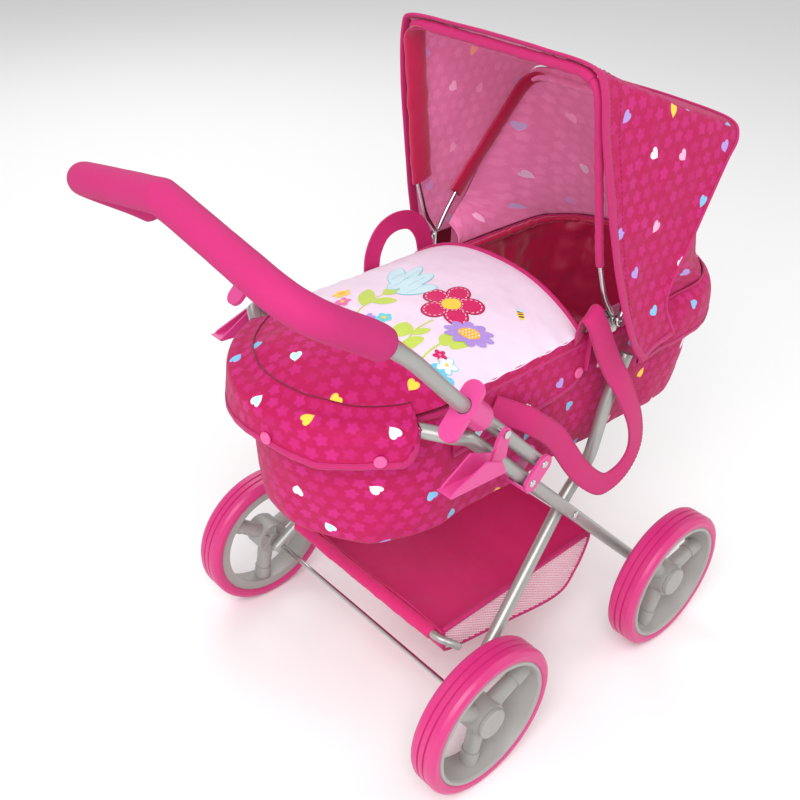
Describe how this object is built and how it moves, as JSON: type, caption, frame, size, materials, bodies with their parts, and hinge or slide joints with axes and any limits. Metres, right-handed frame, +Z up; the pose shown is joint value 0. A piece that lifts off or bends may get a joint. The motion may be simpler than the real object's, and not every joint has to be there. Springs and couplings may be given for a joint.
{
  "type": "doll stroller",
  "caption": "Four-wheeled toy pram for a doll: scissor chassis, padded soft carrycot with cover, folding fabric hood, foam push handle and a basket.",
  "frame": {"origin": "on the floor, below the centre of the bounding box, on the centre plane between the right and left wheels", "axes": "+X towards the hood (head) end, +Y to the stroller's left seen by the pusher, +Z up"},
  "size_m": [0.572, 0.3512, 0.6055],
  "materials": {
    "tube_paint": "silver-grey paint, satin",
    "bright_steel": "plated steel",
    "pink_plastic": "moulded, satin",
    "grey_plastic": "moulded, satin",
    "tyre_plastic": "moulded, soft sheen",
    "grip_foam": "closed-cell foam, matte",
    "printed_fabric": "polyester, star-flower and heart print",
    "plain_fabric": "plain woven polyester",
    "webbing": "woven tape",
    "lining_satin": "satin",
    "cover_fabric": "printed cotton panel",
    "mesh_fabric": "open net",
    "board": "plain sheet"
  },
  "bodies": {
    "chassis": {"push_frame": "tube_paint", "front_axle": "bright_steel", "axle_spacers": "grey_plastic", "link_bracket_right": "pink_plastic", "link_bracket_left": "pink_plastic", "leg_rivets": "bright_steel", "carrycot_shell": "printed_fabric", "carrycot_lining": "lining_satin", "rim_wire": "bright_steel", "base_board": "board", "mattress": "cover_fabric", "cover_panel": "cover_fabric", "foot_cover": "printed_fabric", "foot_flap": "printed_fabric", "side_flap_right": "printed_fabric", "side_flap_left": "printed_fabric", "snaps": "pink_plastic", "head_skirt": "printed_fabric", "hood_hinges": "bright_steel", "carry_strap_right": "webbing", "carry_strap_left": "webbing", "basket_floor": "plain_fabric", "basket_mesh_right": "mesh_fabric", "basket_mesh_left": "mesh_fabric"},
    "hood_legs": {"hood_leg_right": "tube_paint", "hood_leg_left": "tube_paint", "rear_axle": "bright_steel", "basket_bar": "tube_paint"},
    "handle": {"handle_tube": "tube_paint", "handle_grip": "grip_foam", "catch_rivets": "bright_steel"},
    "lock_sleeve_right": {"sleeve_right": "pink_plastic"},
    "lock_sleeve_left": {"sleeve_left": "pink_plastic"},
    "fold_catch_right": {"catch_right": "pink_plastic"},
    "fold_catch_left": {"catch_left": "pink_plastic"},
    "hood_rear": {"rear_bow": "bright_steel", "hood_back": "printed_fabric"},
    "hood_front": {"front_bow": "bright_steel", "hood_canopy": "printed_fabric"},
    "wheel_front_right": {"tyre_front_right": "tyre_plastic", "rim_front_right": "grey_plastic", "hub_cap_front_right": "grey_plastic"},
    "wheel_front_left": {"tyre_front_left": "tyre_plastic", "rim_front_left": "grey_plastic", "hub_cap_front_left": "grey_plastic"},
    "wheel_rear_right": {"tyre_rear_right": "tyre_plastic", "rim_rear_right": "grey_plastic", "hub_cap_rear_right": "grey_plastic"},
    "wheel_rear_left": {"tyre_rear_left": "tyre_plastic", "rim_rear_left": "grey_plastic", "hub_cap_rear_left": "grey_plastic"}
  },
  "joints": [
    {"name": "chassis_fold", "type": "hinge", "parent": "chassis", "child": "hood_legs", "pos_m": [0.03964, 0, 0.203], "axis": [0, -1, 0], "range_deg": [0, 43], "deforming": ["basket_floor", "basket_mesh_right", "basket_mesh_left"]},
    {"name": "handle_fold", "type": "hinge", "parent": "chassis", "child": "handle", "pos_m": [-0.02878, 0, 0.2993], "axis": [0, 1, 0], "range_deg": [0, 46]},
    {"name": "lock_sleeve_right_slide", "type": "slide", "parent": "handle", "child": "lock_sleeve_right", "axis": [-0.7153, -0.0447, 0.6974], "range_m": [0, 0.012]},
    {"name": "fold_catch_right_hinge", "type": "hinge", "parent": "handle", "child": "fold_catch_right", "pos_m": [-0.08829, -0.14, 0.36006], "axis": [0, -1, 0], "range_deg": [0, 35], "stiffness_Nm_per_rad": 0.04, "springref_deg": -20.05},
    {"name": "lock_sleeve_left_slide", "type": "slide", "parent": "handle", "child": "lock_sleeve_left", "axis": [-0.7153, 0.0447, 0.6974], "range_m": [0, 0.012]},
    {"name": "fold_catch_left_hinge", "type": "hinge", "parent": "handle", "child": "fold_catch_left", "pos_m": [-0.08829, 0.14, 0.36006], "axis": [0, -1, 0], "range_deg": [0, 35], "stiffness_Nm_per_rad": 0.04, "springref_deg": -20.05},
    {"name": "hood_tilt", "type": "hinge", "parent": "chassis", "child": "hood_rear", "pos_m": [0.08, 0, 0.384], "axis": [0, 1, 0], "range_deg": [0, 24], "deforming": ["hood_back"]},
    {"name": "hood_front_fold", "type": "hinge", "parent": "hood_rear", "child": "hood_front", "pos_m": [0.08, 0, 0.384], "axis": [0, 1, 0], "range_deg": [0, 53], "deforming": ["hood_canopy"]},
    {"name": "wheel_front_right_spin", "type": "hinge", "parent": "chassis", "child": "wheel_front_right", "pos_m": [0.165, -0.16, 0.075], "axis": [0, 1, 0], "continuous": true},
    {"name": "wheel_front_left_spin", "type": "hinge", "parent": "chassis", "child": "wheel_front_left", "pos_m": [0.165, 0.16, 0.075], "axis": [0, 1, 0], "continuous": true},
    {"name": "wheel_rear_right_spin", "type": "hinge", "parent": "hood_legs", "child": "wheel_rear_right", "pos_m": [-0.105, -0.16, 0.075], "axis": [0, 1, 0], "continuous": true},
    {"name": "wheel_rear_left_spin", "type": "hinge", "parent": "hood_legs", "child": "wheel_rear_left", "pos_m": [-0.105, 0.16, 0.075], "axis": [0, 1, 0], "continuous": true}
  ],
  "couplings": [
    {"joint": "hood_front_fold", "follows": "hood_tilt", "ratio": 2.2}
  ]
}
